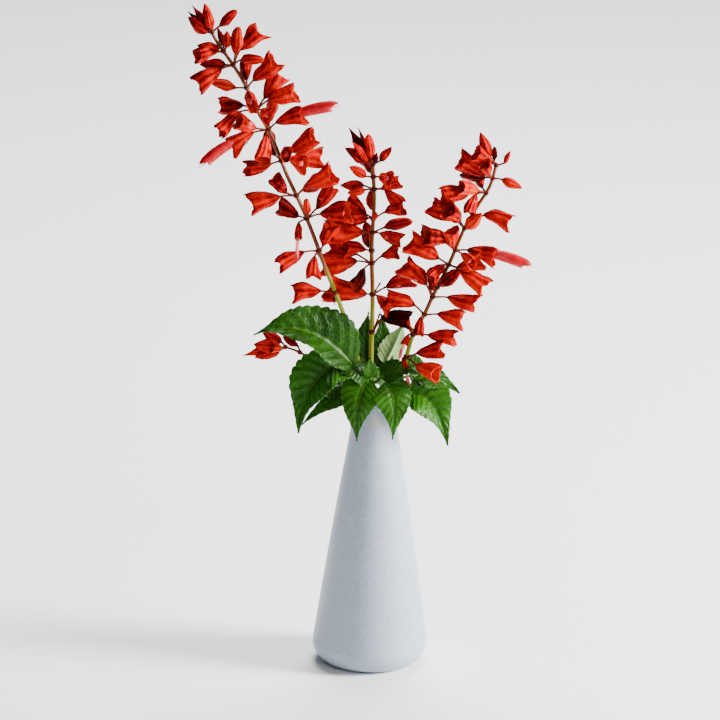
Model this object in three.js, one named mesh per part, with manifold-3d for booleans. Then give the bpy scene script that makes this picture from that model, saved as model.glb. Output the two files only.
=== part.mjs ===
// Three cut spikes of scarlet sage, with a budded side shoot and their leaves, standing in a
// slim conical stoneware vase. Millimetres, +Z up, origin at the middle of the vase's foot.
import * as THREE from 'three';
import { mergeVertices } from 'three/addons/utils/BufferGeometryUtils.js';
import Module from 'manifold-3d';

const wasm = await Module();
wasm.setup();

// ---- driving dimensions ----
const vaseHeight = 180;
const rimRadius = 12.3;
const wall = 3;
const floorThickness = 4;
const footRadius = 24;
const footFillet = 13.6;
const wallBulge = 0.6;
const gap = 0.3;
const stemSides = 5;
const floretSides = 5;
const pedicelSides = 3;
const collarWall = 1.2;
const collarHeight = 3;
const collarSides = 6;
const pedicelRadius = 0.85;
const pedicelBend = 0.7;
const corollaDroop = 0.08;
const leafThickness = 0.7;
const leafStalkRadius = 1;
const leafStalkSides = 4;
const vaseSides = 28;
const vaseWallSteps = 5;
const stemStep = 14;

const point = ([x, y, z]) => new THREE.Vector3(x, y, z);
const radians = THREE.MathUtils.degToRad;
const paint = (color, roughness) => new THREE.MeshStandardMaterial({ color, roughness, metalness: 0 });
const finishes = {
  glaze: paint(0xc3ccd6, 0.55),
  stem: paint(0x6b4a1e, 0.6),
  leaf: paint(0x1d4a12, 0.45),
  paleLeaf: paint(0x8fb070, 0.6),
  flower: paint(0xc01208, 0.55),
};

// ---- solids: joined and cut as manifolds, handed back as three.js geometry ----
function toSolid(geometry) {
  const bare = geometry.clone();
  bare.deleteAttribute('normal');
  bare.deleteAttribute('uv');
  const merged = mergeVertices(bare, 1e-4);
  return new wasm.Manifold(new wasm.Mesh({
    numProp: 3,
    vertProperties: new Float32Array(merged.attributes.position.array),
    triVerts: new Uint32Array(merged.index.array),
  }));
}

function toGeometry(solid) {
  const mesh = solid.getMesh();
  const geometry = new THREE.BufferGeometry();
  geometry.setAttribute('position', new THREE.BufferAttribute(mesh.vertProperties, 3));
  geometry.setIndex(new THREE.BufferAttribute(mesh.triVerts, 1));
  geometry.computeVertexNormals();
  return geometry;
}

const join = (solids) => solids.reduce((all, next) => all.add(next));

// A cut can leave loose crumbs behind: only the largest body is the piece.
function largestBody(solid) {
  const bodies = solid.decompose();
  return bodies.reduce((best, body) => (body.volume() > best.volume() ? body : best));
}

// ---- shared shapes ----
// Rings of points, one after the other, closed at both ends by flat fans.
function skin(rings) {
  const count = rings[0].length;
  const positions = rings.flat().flatMap((p) => [p.x, p.y, p.z]);
  const faces = [];
  for (let r = 0; r < rings.length - 1; r += 1) {
    for (let i = 0; i < count; i += 1) {
      const a = r * count + i;
      const b = r * count + ((i + 1) % count);
      faces.push(a, b, a + count, b, b + count, a + count);
    }
  }
  const last = (rings.length - 1) * count;
  for (let i = 1; i < count - 1; i += 1) {
    faces.push(0, i + 1, i, last, last + i, last + i + 1);
  }
  const geometry = new THREE.BufferGeometry();
  geometry.setAttribute('position', new THREE.Float32BufferAttribute(positions, 3));
  geometry.setIndex(faces);
  return geometry;
}

// A round rod along a curve, its radius running evenly from one end's to the other's.
function rod(curve, startRadius, endRadius, steps, sides) {
  const frames = curve.computeFrenetFrames(steps, false);
  const rings = [];
  for (let s = 0; s <= steps; s += 1) {
    const centre = curve.getPointAt(s / steps);
    const radius = THREE.MathUtils.lerp(startRadius, endRadius, s / steps);
    const ring = [];
    for (let i = 0; i < sides; i += 1) {
      const turn = (i / sides) * Math.PI * 2;
      ring.push(centre.clone()
        .addScaledVector(frames.normals[s], Math.cos(turn) * radius)
        .addScaledVector(frames.binormals[s], Math.sin(turn) * radius));
    }
    rings.push(ring);
  }
  return skin(rings);
}

// A round body along a direction, from [share of length, radius] pairs that start and end on the axis.
function turned(profile, length, sides, from, direction, spread = 0) {
  const outline = profile.map(([share, radius], i) => {
    const onAxis = i === 0 || i === profile.length - 1;
    return new THREE.Vector2(onAxis ? 0 : radius + spread, share * length);
  });
  const up = new THREE.Vector3(0, 1, 0);
  const turn = new THREE.Quaternion().setFromUnitVectors(up, direction);
  return new THREE.LatheGeometry(outline, sides).applyQuaternion(turn).translate(...from.toArray());
}

// swing: angle in the front plane, 0 to the right and 90 up; front: how far it turns to the front.
function heading(swing, front) {
  const s = radians(swing);
  const f = radians(front);
  return new THREE.Vector3(Math.cos(f) * Math.cos(s), -Math.sin(f), Math.cos(f) * Math.sin(s));
}

// ---- vase ----
function vaseGeometry() {
  const profile = [new THREE.Vector2(0, 0), new THREE.Vector2(footRadius, 0)];
  const lean = Math.atan2(footRadius + footFillet - rimRadius, vaseHeight - footFillet);
  const lipRadius = wall / 2;
  const lipHeight = vaseHeight - lipRadius;
  const wallFoot = new THREE.Vector2(
    footRadius + footFillet * Math.cos(lean),
    footFillet + footFillet * Math.sin(lean),
  );
  const outerRadius = (z) => {
    const t = (z - wallFoot.y) / (lipHeight - wallFoot.y);
    return THREE.MathUtils.lerp(wallFoot.x, rimRadius, t) + wallBulge * Math.sin(Math.PI * t);
  };
  for (let i = 1; i <= 4; i += 1) {
    const a = THREE.MathUtils.lerp(-Math.PI / 2, lean, i / 4);
    profile.push(new THREE.Vector2(
      footRadius + footFillet * Math.cos(a),
      footFillet + footFillet * Math.sin(a),
    ));
  }
  for (let i = 1; i <= vaseWallSteps; i += 1) {
    const z = THREE.MathUtils.lerp(wallFoot.y, lipHeight, i / vaseWallSteps);
    profile.push(new THREE.Vector2(outerRadius(z), z));
  }
  for (let i = 1; i <= 3; i += 1) {
    const a = (i / 3) * Math.PI;
    profile.push(new THREE.Vector2(
      rimRadius - lipRadius + lipRadius * Math.cos(a),
      lipHeight + lipRadius * Math.sin(a),
    ));
  }
  const innerFillet = 10;
  const innerFoot = floorThickness + innerFillet;
  const innerWallFoot = innerFoot + 4;
  for (let i = 1; i <= vaseWallSteps; i += 1) {
    const z = THREE.MathUtils.lerp(lipHeight, innerWallFoot, i / vaseWallSteps);
    profile.push(new THREE.Vector2(outerRadius(z) - wall, z));
  }
  const floorRadius = outerRadius(innerWallFoot) - wall - innerFillet;
  for (let i = 1; i <= 3; i += 1) {
    const a = -(i / 3) * Math.PI / 2;
    profile.push(new THREE.Vector2(
      floorRadius + innerFillet * Math.cos(a),
      innerFoot + innerFillet * Math.sin(a),
    ));
  }
  profile.push(new THREE.Vector2(0, floorThickness));
  return new THREE.LatheGeometry(profile, vaseSides).rotateX(Math.PI / 2);
}

// ---- stems: cut ends near the vase's floor, out through the mouth, up to the spike's tip ----
const stems = {
  left: {
    route: [[-20, 3, 4.6], [-13, 2.5, 90], [-6, 1.5, 172], [-6.5, 1, 184], [-12, 0, 208],
      [-21.8, -2, 239], [-34, -3, 270], [-47, -4, 304], [-59, -5, 330], [-70, -5, 357],
      [-79.5, -5, 374], [-87, -5, 390], [-95, -5, 403], [-105.5, -5, 418], [-109, -5, 425]],
    radii: [1.7, 0.9],
  },
  centre: {
    route: [[-3, 19, 4.6], [-2, 13, 90], [-1, 5.6, 172], [-1, 5.5, 184], [-2.9, 6, 205],
      [-2.7, 8, 244], [-4, 9, 280], [-3, 10, 310], [-4.5, 10, 337]],
    radii: [1.8, 1.1],
  },
  right: {
    route: [[20, 2, 4.6], [14, 2, 90], [6.2, 1.5, 170], [7, 1, 182], [13, 0, 195],
      [18.6, -1, 205], [24, -2, 225], [31, -3, 239], [36, -3, 251], [46.5, -4, 274.5],
      [55, -4, 296.5], [64, -4, 313.5], [71, -4, 326], [75, -4, 341]],
    radii: [1.7, 0.9],
  },
  side_shoot: {
    route: [[-13, -2.6, 203], [-26, -7, 205], [-40, -8, 208], [-50, -8, 213.5], [-60, -8, 217]],
    radii: [1, 0.7],
  },
};
for (const stem of Object.values(stems)) {
  stem.curve = new THREE.CatmullRomCurve3(stem.route.map(point), false, 'catmullrom', 0.5);
  stem.steps = Math.round(stem.curve.getLength() / stemStep);
}

const stemGeometry = (stem, spread = 0) => (
  rod(stem.curve, stem.radii[0] + spread, stem.radii[1] + spread, stem.steps, stemSides)
);

// Where a stem passes a height, which way it runs there and how thick it is.
function stemAt(stem, height) {
  const halvings = 24;
  let low = 0;
  let high = 1;
  for (let i = 0; i < halvings; i += 1) {
    const middle = (low + high) / 2;
    if (stem.curve.getPointAt(middle).z < height) low = middle;
    else high = middle;
  }
  return {
    centre: stem.curve.getPointAt(low),
    along: stem.curve.getTangentAt(low),
    radius: THREE.MathUtils.lerp(stem.radii[0], stem.radii[1], low),
  };
}

// ---- florets ----
// Each: kind, pedicel's swing and length, the body's swing, its turn to the front, its length.
// Whorls are given from the tip down, each at its height on the stem.
const spikes = {
  left: [
    { height: 424, florets: [
      ['bract', 118, 2, 119, 10, 24], ['bud', 110, 2, 106, -15, 19], ['bract', 140, 2, 142, -25, 18],
      ['bud', 150, 1, 141, 20, 17], ['bud', 105, 2, 104, 30, 15], ['bud', 45, 4, 45, 0, 15]] },
    { height: 412, florets: [
      ['bud', 170, 3, 183, 15, 12], ['bud', 110, 2, 108, -30, 13], ['calyx', 165, 5, 175, 42, 15],
      ['bud', 148, 2, 150, 28, 16], ['bud', 70, 2, 84, 28, 14]] },
    { height: 403, florets: [
      ['bud', 90, 6, 87, 15, 20], ['calyx', 72, 9, 50, -10, 18], ['bud', 40, 4, 14, 20, 16],
      ['bud', 165, 3, 184, -15, 17], ['calyx', 195, 6, 208, 15, 19]] },
    { height: 388, florets: [
      ['bud', 180, 5, 168, -20, 17], ['calyx', 60, 5, 46, 10, 20], ['calyx', 300, 3, 290, 70, 16],
      ['calyx', 100, 5, 110, -60, 17]] },
    { height: 374, florets: [
      ['calyx', 62, 7, 58, -20, 19], ['calyx', 45, 8, 22, 10, 19], ['calyx', 0, 3, 350, 68, 14],
      ['calyx', 160, 8, 190, -25, 17], ['calyx', 180, 10, 216, 25, 18]] },
    { height: 361, florets: [
      ['bloom', 50, 5, 24, 5, 19], ['bloom', 185, 8, 206, 15, 18], ['calyx', 270, 3, 268, 45, 19],
      ['calyx', 160, 7, 153, 30, 16], ['calyx', 90, 5, 80, -60, 17]] },
    { height: 341, florets: [
      ['calyx', 55, 7, 36, 10, 20], ['calyx', 195, 5, 186, 25, 17], ['calyx', 70, 4, 75, 62, 15],
      ['calyx', 20, 5, 0, 50, 16], ['calyx', 10, 6, 356, -20, 19], ['calyx', 140, 5, 125, -55, 17]] },
    { height: 318, florets: [
      ['calyx', 55, 7, 30, 15, 22], ['calyx', 150, 6, 118, 25, 15], ['calyx', 178, 9, 195, 10, 20],
      ['calyx', 30, 4, 20, -55, 17]] },
    { height: 303, florets: [
      ['bud', 100, 3, 98, 25, 14], ['calyx', 50, 7, 56, -15, 18], ['calyx', 25, 8, 12, 25, 21],
      ['spent', 200, 4, 268, 35, 12], ['calyx', 170, 5, 165, -50, 17]] },
    { height: 281, florets: [
      ['calyx', 75, 3, 78, 15, 15], ['calyx', 180, 8, 200, 15, 18], ['calyx', 250, 3, 266, 30, 14]] },
    { height: 251.5, florets: [
      ['calyx', 165, 8, 178, 12, 18], ['bract', 280, 1, 275, 25, 7]] },
  ],
  centre: [
    { height: 336, florets: [
      ['bract', 115, 2, 115, 0, 25], ['bract', 108, 2, 110, -25, 24], ['bud', 95, 3, 95, 5, 18],
      ['bud', 140, 3, 137, 20, 18], ['bract', 122, 2, 120, 25, 22], ['bud', 88, 1, 88, 10, 8],
      ['bud', 40, 3, 52, 0, 12]] },
    { height: 327, florets: [
      ['bud', 175, 3, 135, 20, 14], ['calyx', 20, 3, 20, 58, 14], ['calyx', 120, 3, 110, -60, 15]] },
    { height: 318.5, florets: [
      ['calyx', 15, 3, 30, 15, 13], ['bud', 150, 5, 178, 0, 15], ['bud', 178, 4, 183, 30, 13],
      ['calyx', 250, 2, 268, -30, 13], ['calyx', 0, 5, 322, 10, 14]] },
    { height: 299, florets: [
      ['calyx', 165, 2, 165, 40, 15], ['calyx', 45, 8, 25, 25, 14], ['calyx', 150, 4, 152, -40, 17],
      ['bud', 80, 2, 85, 60, 10]] },
    { height: 290.5, florets: [
      ['bud', 35, 6, 24, 5, 19], ['calyx', 0, 3, 345, 22, 15], ['calyx', 175, 4, 178, 15, 24]] },
    { height: 278, florets: [
      ['calyx', 160, 2, 164, 18, 15], ['calyx', 120, 2, 100, -65, 16]] },
    { height: 269, florets: [
      ['calyx', 145, 10, 165, -10, 19], ['calyx', 165, 8, 186, 15, 23], ['calyx', 55, 8, 30, 30, 13],
      ['calyx', 215, 5, 250, 50, 16], ['stub', 45, 6, 40, -20, 1]] },
    { height: 249.5, florets: [
      ['calyx', 175, 2, 168, 12, 26], ['calyx', 35, 8, 24, -10, 18], ['calyx', 320, 1, 325, 30, 14],
      ['stub', 65, 7, 60, -30, 1]] },
    { height: 224.5, florets: [
      ['calyx', 70, 11, 2, 8, 20], ['bract', 75, 8, 72, -20, 6]] },
  ],
  right: [
    { height: 340, florets: [
      ['bud', 120, 5, 112, 5, 18], ['calyx', 135, 1, 139, 20, 16], ['bud', 88, 2, 84, -10, 9],
      ['bud', 30, 4, 68, 5, 9]] },
    { height: 331, florets: [
      ['calyx', 150, 4, 150, 10, 20], ['calyx', 110, 2, 112, 35, 13], ['bud', 0, 4, 342, 10, 14],
      ['calyx', 200, 4, 172, -40, 18]] },
    { height: 321, florets: [
      ['calyx', 160, 4, 152, 35, 16], ['calyx', 175, 8, 182, 20, 21], ['calyx', 190, 5, 250, 20, 14],
      ['calyx', 120, 3, 120, -55, 16]] },
    { height: 297.5, florets: [
      ['calyx', 110, 6, 118, 40, 19], ['calyx', 135, 6, 149, 0, 19], ['bud', 56, 1, 56, 30, 18],
      ['calyx', 46, 15, 350, 5, 18]] },
    { height: 283.5, florets: [
      ['calyx', 110, 7, 158, 25, 19], ['calyx', 150, 9, 158, -25, 15], ['calyx', 95, 1, 96, 25, 15],
      ['bloom', 10, 6, 354, 8, 19], ['calyx', 340, 3, 330, 50, 13]] },
    { height: 273, florets: [
      ['calyx', 145, 6, 146, 8, 22], ['calyx', 350, 4, 24, 25, 17], ['calyx', 335, 6, 333, 8, 20],
      ['calyx', 200, 1, 214, 30, 14]] },
    { height: 257, florets: [
      ['bud', 60, 2, 52, 25, 20]] },
    { height: 251.5, florets: [
      ['calyx', 107, 8, 133, 5, 20], ['calyx', 8, 8, 348, 10, 19], ['calyx', 100, 4, 60, -65, 17]] },
    { height: 239, florets: [
      ['calyx', 130, 7, 158, 5, 20], ['calyx', 15, 7, 358, 15, 17], ['calyx', 230, 2, 262, 30, 12]] },
    { height: 225, florets: [
      ['calyx', 8, 8, 357, 15, 18], ['spent', 200, 1, 246, 20, 8], ['stub', 120, 8, 110, 0, 1]] },
    { height: 209, florets: [
      ['calyx', 38, 6, 14, 15, 18], ['spent', 220, 1, 290, 30, 9], ['calyx', 320, 7, 358, 45, 18]] },
  ],
  side_shoot: [
    { height: 216.5, florets: [
      ['bract', 182, 3, 181, 10, 24], ['bud', 165, 3, 168, 25, 19], ['bud', 195, 3, 192, 20, 17],
      ['bud', 150, 3, 158, -20, 15], ['calyx', 170, 2, 160, 45, 12]] },
    { height: 213.2, florets: [['bud', 120, 3, 148, 5, 12]] },
  ],
};

const bodies = {
  bract: [[0, 0], [0.35, 2.6], [1, 0]],
  bud: [[0, 0], [0.3, 3.2], [0.7, 2.6], [1, 0]],
  calyx: [[0, 0], [0.3, 3.4], [0.9, 5], [1, 0]],
  bloom: [[0, 0], [0.3, 3.4], [0.9, 5.4], [1, 0]],
  spent: [[0, 0], [0.4, 3.2], [0.9, 3], [1, 0]],
  stub: [[0, 0], [0.5, 0.9], [1, 0]],
};
const corolla = [[0, 0], [0.5, 3], [0.9, 2.6], [1, 0]];
const corollaReach = { bloom: 2.05, spent: 2.2 };

function floretSolids(node, [kind, pedicelSwing, pedicelLength, swing, front, length], spread) {
  const away = heading(pedicelSwing, front * pedicelBend);
  const facing = heading(swing, front);
  const outward = away.clone().projectOnPlane(node.along).normalize();
  const start = node.centre.clone().addScaledVector(outward, node.radius + gap + collarWall / 2);
  const base = start.clone().addScaledVector(away, pedicelLength);
  const seat = base.clone().addScaledVector(facing, length * 0.2);
  const pedicel = new THREE.LineCurve3(start, seat);
  const solids = [
    toSolid(rod(pedicel, pedicelRadius + spread, pedicelRadius + spread, 1, pedicelSides)),
    toSolid(turned(bodies[kind], length, floretSides, base, facing, spread)),
  ];
  if (corollaReach[kind]) {
    const down = new THREE.Vector3(0, 0, -1);
    const droop = facing.clone().addScaledVector(down, corollaDroop).normalize();
    solids.push(toSolid(turned(corolla, length * corollaReach[kind], floretSides, base, droop, spread)));
  }
  return solids;
}

// A ring round the stem, with every pedicel growing out of it.
function whorlSolid(stem, { height, florets }, spread = 0) {
  const node = stemAt(stem, height);
  const inner = node.radius + gap - spread;
  const outer = node.radius + gap + collarWall + spread;
  const reach = collarHeight / 2 + spread;
  const outline = [[inner, -reach], [outer, 0], [inner, reach], [inner, -reach]]
    .map(([radius, rise]) => new THREE.Vector2(radius, rise));
  const turn = new THREE.Quaternion().setFromUnitVectors(new THREE.Vector3(0, 1, 0), node.along);
  const collar = new THREE.LatheGeometry(outline, collarSides).applyQuaternion(turn)
    .translate(...node.centre.toArray());
  const solids = florets.flatMap((floret) => floretSolids(node, floret, spread));
  return join([toSolid(collar), ...solids]);
}

// ---- leaves: a stalk from the stem, then a blade folded along its midrib ----
// facing: where the inside of the fold looks; fold: how far each half is turned up from flat.
const leaves = {
  leaf_upper_left: { stalk: [-9.5, -1.5, 196], base: [-15, -7, 205], mid: [-44, -14, 242],
    tip: [-79, -17, 227], facing: [0, -0.65, 0.75], halfWidth: 23, fold: 36 },
  leaf_back_left: { stalk: [-2, 8, 190], base: [-5, 10, 196], mid: [-9, 13, 214],
    tip: [-5, 14, 235], facing: [0, -0.95, 0.2], halfWidth: 10, fold: 10 },
  leaf_back_right: { stalk: [0.5, 7, 192], base: [2.5, 10.5, 198], mid: [6, 15, 215],
    tip: [3, 13.5, 234], facing: [0.1, -0.95, 0.2], halfWidth: 8.5, fold: 12 },
  leaf_pale: { stalk: [1, 6, 195], base: [6, 10, 201], mid: [13, 14, 214],
    tip: [18, 10, 230], facing: [-0.1, 0.9, 0.3], halfWidth: 9.5, fold: 22 },
  leaf_round: { stalk: [15, 1, 196], base: [19, 4, 199], mid: [26, 7, 205],
    tip: [33, 7, 202], facing: [0, -0.8, 0.6], halfWidth: 8, fold: 8 },
  leaf_left_hanging: { stalk: [-9, -1.5, 190], base: [-25, -11, 205], mid: [-46, -15, 198],
    tip: [-49, -17, 161], facing: [-0.4, -0.8, 0.4], halfWidth: 20, fold: 36 },
  leaf_left_folded: { stalk: [-8, -0.5, 187], base: [-13, -7, 199], mid: [-27, -10, 203],
    tip: [-42, -14, 191], facing: [0, -0.45, 0.9], halfWidth: 9, fold: 22 },
  leaf_left_shaded: { stalk: [-7, 2.5, 190], base: [-14, 1, 192], mid: [-28, -3, 193],
    tip: [-44, -8, 179], facing: [0, -0.6, 0.75], halfWidth: 12, fold: 8 },
  leaf_left_low: { stalk: [-3, 3, 187], base: [-12, -6, 187], mid: [-30, -9, 184],
    tip: [-47, -12, 165], facing: [0, -0.5, 0.85], halfWidth: 8, fold: 10 },
  leaf_front_left: { stalk: [-1.6, 3.4, 189], base: [-4, -9, 196], mid: [-14, -21, 188],
    tip: [-11, -19.5, 157], facing: [-0.1, -0.9, 0.45], halfWidth: 13.5, fold: 10 },
  leaf_front_right: { stalk: [9, -1, 186], base: [7, -9, 194], mid: [15, -21, 189],
    tip: [12, -20, 159], facing: [0.15, -0.9, 0.4], halfWidth: 13.5, fold: 12 },
  leaf_right_hanging: { stalk: [10, -1, 188], base: [22, -7, 188], mid: [41, -10, 187],
    tip: [48, -12, 153], facing: [0.4, -0.85, 0.35], halfWidth: 17.5, fold: 34 },
  leaf_right_shaded: { stalk: [13, -2, 194], base: [22, -3, 197], mid: [40, -3, 200],
    tip: [55, -6, 187], facing: [0, -0.4, 0.9], halfWidth: 12, fold: 12 },
  leaf_back_hanging_left: { stalk: [-4, 7, 190], base: [-7, 13, 194], mid: [-15, 26, 192],
    tip: [-13, 26, 164], facing: [-0.2, 0.9, 0.4], halfWidth: 10.5, fold: 10 },
  leaf_back_hanging_right: { stalk: [1.5, 6.5, 189], base: [5, 13, 193], mid: [12, 27, 189],
    tip: [11, 26, 161], facing: [0.2, 0.9, 0.4], halfWidth: 10.5, fold: 14 },
  leaf_neck_left: { stalk: [-3, 3.3, 191], base: [-3, -5, 194], mid: [-12, -11, 206],
    tip: [-25, -13, 199], facing: [0, -0.75, 0.65], halfWidth: 9, fold: 12 },
  leaf_neck_right: { stalk: [0.8, 4, 190], base: [4, -5, 196], mid: [14, -9, 207],
    tip: [27, -9, 201], facing: [0, -0.75, 0.65], halfWidth: 8.5, fold: 12 },
  leaf_young: { stalk: [-2, 3.5, 195], base: [-2.5, -6, 196], mid: [-3, -12, 204],
    tip: [-4, -11, 212], facing: [0.1, -0.9, 0.3], halfWidth: 5.5, fold: 20 },
};

// An ovate outline with a drawn-out tip, as a share of the half width at its widest.
function bladeWidth(t) {
  const widest = 0.3;
  if (t < widest) return Math.sqrt(1 - ((widest - t) / widest) ** 2);
  const towardsTip = (t - widest) / (1 - widest);
  const round = Math.cos(towardsTip * Math.PI / 2) ** 1.1;
  const drawnOut = (1 + Math.cos(towardsTip * Math.PI)) / 2;
  return 0.55 * round + 0.45 * drawnOut;
}

function leafSolid(leaf, spread = 0) {
  const bladeSteps = 6;
  const across = [-1, 0, 1];
  const minHalfWidth = 0.6;
  const edgeCurl = 0.18;
  const midrib = new THREE.QuadraticBezierCurve3(point(leaf.base), point(leaf.mid), point(leaf.tip));
  const fold = radians(leaf.fold);
  const half = leafThickness / 2 + spread;
  const endOverrun = { 0: -spread, [bladeSteps]: spread };
  const rings = [];
  for (let s = 0; s <= bladeSteps; s += 1) {
    const t = s / bladeSteps;
    const along = midrib.getTangent(t);
    const normal = point(leaf.facing).projectOnPlane(along).normalize();
    const side = along.clone().cross(normal);
    const width = Math.max(leaf.halfWidth * bladeWidth(t), minHalfWidth) + spread;
    const overrun = endOverrun[s] ?? 0;
    const centre = midrib.getPoint(t).addScaledVector(along, overrun);
    const at = (share, lift) => {
      const out = Math.abs(share) * width;
      const rise = out * (Math.sin(fold) - edgeCurl * Math.abs(share)) + lift;
      return centre.clone().addScaledVector(side, share * width * Math.cos(fold))
        .addScaledVector(normal, rise);
    };
    const face = across.map((u) => at(u, half));
    const back = across.toReversed().map((u) => at(u, -half));
    rings.push([...face, ...back]);
  }
  const bladeStart = midrib.getTangent(0);
  const stalkReach = point(leaf.stalk).distanceTo(point(leaf.base));
  const stalk = new THREE.QuadraticBezierCurve3(
    point(leaf.stalk),
    point(leaf.base).addScaledVector(bladeStart, -0.4 * stalkReach),
    point(leaf.base).addScaledVector(bladeStart, 3),
  );
  const stalkRadius = leafStalkRadius + spread;
  const stalkRod = rod(stalk, stalkRadius, stalkRadius, 2, leafStalkSides);
  return toSolid(skin(rings)).add(toSolid(stalkRod));
}

// ---- assembly: later pieces are cut clear of the earlier ones, with a small gap ----
const group = new THREE.Group();
const placed = [];

function overlaps(a, b) {
  return [0, 1, 2].every((axis) => a.min[axis] < b.max[axis] && b.min[axis] < a.max[axis]);
}

function place(name, solid, grown, finish) {
  let piece = solid;
  for (const other of placed) {
    if (overlaps(piece.boundingBox(), other.boundingBox())) piece = piece.subtract(other);
  }
  piece = largestBody(piece);
  placed.push(grown);
  const mesh = new THREE.Mesh(toGeometry(piece), finish);
  mesh.name = name;
  group.add(mesh);
}

const vase = new THREE.Mesh(vaseGeometry(), finishes.glaze);
vase.name = 'vase';
group.add(vase);

for (const [name, stem] of Object.entries(stems)) {
  const stemName = name === 'side_shoot' ? 'side_shoot_stem' : `${name}_stem`;
  place(stemName, toSolid(stemGeometry(stem)), toSolid(stemGeometry(stem, gap)), finishes.stem);
}
for (const [name, whorls] of Object.entries(spikes)) {
  whorls.forEach((whorl, i) => {
    const whorlName = i === 0 ? `${name}_tip_buds` : `${name}_whorl_${String(i).padStart(2, '0')}`;
    const solid = whorlSolid(stems[name], whorl);
    place(whorlName, solid, whorlSolid(stems[name], whorl, gap), finishes.flower);
  });
}
for (const [name, leaf] of Object.entries(leaves)) {
  const finish = name === 'leaf_pale' ? finishes.paleLeaf : finishes.leaf;
  place(name, leafSolid(leaf), leafSolid(leaf, gap), finish);
}

export default group;
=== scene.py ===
import math
import random

import bpy
import numpy as np
from mathutils import Matrix, Vector


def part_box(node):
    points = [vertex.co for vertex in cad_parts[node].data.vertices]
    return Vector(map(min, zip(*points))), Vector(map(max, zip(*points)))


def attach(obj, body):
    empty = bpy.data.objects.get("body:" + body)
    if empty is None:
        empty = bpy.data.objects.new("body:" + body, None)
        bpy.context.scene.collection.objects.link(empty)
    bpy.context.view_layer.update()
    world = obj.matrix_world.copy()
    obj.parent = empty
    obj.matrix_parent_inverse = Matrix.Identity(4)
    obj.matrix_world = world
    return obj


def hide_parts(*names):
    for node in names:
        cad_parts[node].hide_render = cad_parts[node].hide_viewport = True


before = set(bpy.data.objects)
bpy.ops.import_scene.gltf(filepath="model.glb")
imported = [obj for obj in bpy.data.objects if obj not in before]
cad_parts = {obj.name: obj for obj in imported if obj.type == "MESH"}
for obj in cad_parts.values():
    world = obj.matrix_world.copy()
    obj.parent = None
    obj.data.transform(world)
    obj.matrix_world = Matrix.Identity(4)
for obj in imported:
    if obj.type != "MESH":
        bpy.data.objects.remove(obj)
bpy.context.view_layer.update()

mm = 0.001
print("frame loaded,", len(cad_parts), "nodes")


def unit(v):
    return v / max(np.linalg.norm(v), 1e-9)


def square(v, axis):
    # v with its part along axis taken out, unit length
    return unit(v - axis * np.dot(v, axis))


def heading(swing, front):
    # swing: 0 right, 90 up, in the front plane; front: turned towards the front
    s, f = math.radians(swing), math.radians(front)
    return np.array([math.cos(f) * math.cos(s), -math.sin(f), math.cos(f) * math.sin(s)])


def smooth(x, low, high):
    t = np.clip((x - low) / (high - low), 0, 1)
    return t * t * (3 - 2 * t)


def catmullRom(points, perSpan=24):
    # same even spline as the stems' solids
    p = np.array(points, float)
    p = np.vstack([2 * p[0] - p[1], p, 2 * p[-1] - p[-2]])
    t = np.linspace(0, 1, perSpan, endpoint=False)[:, None]
    spans = []
    for a, b, c, d in zip(p, p[1:], p[2:], p[3:]):
        spans.append(0.5 * (2 * b + (c - a) * t + (2 * a - 5 * b + 4 * c - d) * t**2
                            + (3 * b - a - 3 * c + d) * t**3))
    return np.vstack(spans + [p[-2:-1]])


def bezier(a, b, c, count):
    t = np.linspace(0, 1, count)[:, None]
    return a * (1 - t)**2 + 2 * b * t * (1 - t) + c * t**2


def fullTurn(count):
    return np.arange(count) / count * 2 * math.pi


def turnFrames(path):
    # tangents, and two steady square directions along a path
    tangents = np.gradient(path, axis=0)
    tangents /= np.linalg.norm(tangents, axis=1)[:, None]
    first = np.array([0, -1, 0.0]) if abs(tangents[0][1]) < 0.9 else np.array([1, 0, 0.0])
    normals = [square(first, tangents[0])]
    for tangent in tangents[1:]:
        normals.append(square(normals[-1], tangent))
    normals = np.array(normals)
    return tangents, normals, np.cross(tangents, normals)


def circles(normals, sides, around):
    # a circle of directions at each step of a path
    turns = fullTurn(around)
    return (np.cos(turns)[None, :, None] * normals[:, None]
            + np.sin(turns)[None, :, None] * sides[:, None])


class Shape:
    # gathers rings of points into one mesh, with values the materials read
    def __init__(self):
        self.verts, self.faces, self.finish, self.values = [], [], [], []
        self.count = 0

    def rings(self, rings, finish, values):
        # rings: rows x points x 3 in mm; values: rows x points x 4 (tone, reach, around, inside)
        rows, n, _ = rings.shape
        index = self.count + np.arange(rows * n).reshape(rows, n)
        self.verts.append(rings.reshape(-1, 3))
        self.values.append(values.reshape(-1, 4))
        self.count += rows * n
        a, c = index[:-1], index[1:]
        b, d = np.roll(a, -1, 1), np.roll(c, -1, 1)
        quads = np.stack([a, b, d, c], -1).reshape(-1, 4)
        self.faces.extend(quads.tolist())
        self.finish.extend([finish] * len(quads))
        # a fan of triangles closes each end
        for row in (0, rows - 1):
            loop = index[row].tolist()
            self.verts.append(rings[row].mean(0)[None])
            self.values.append(values[row].mean(0)[None])
            for here, beyond in zip(loop, loop[1:] + loop[:1]):
                self.faces.append([here, beyond, self.count] if row else [beyond, here, self.count])
            self.finish.extend([finish] * n)
            self.count += 1

    def build(self, name, materials, node):
        mesh = bpy.data.meshes.new(name)
        mesh.from_pydata((np.vstack(self.verts) * mm).tolist(), [], self.faces)
        mesh.polygons.foreach_set("material_index", self.finish)
        mesh.polygons.foreach_set("use_smooth", [True] * len(self.faces))
        values = np.vstack(self.values)
        for k, label in enumerate(("tone", "reach", "around", "inside")):
            mesh.attributes.new(label, "FLOAT", "POINT").data.foreach_set("value", values[:, k])
        for material in materials:
            mesh.materials.append(material)
        mesh.validate()
        mesh.update()
        piece = bpy.data.objects.new(name, mesh)
        bpy.context.scene.collection.objects.link(piece)
        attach(piece, "root")
        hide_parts(node)


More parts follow.
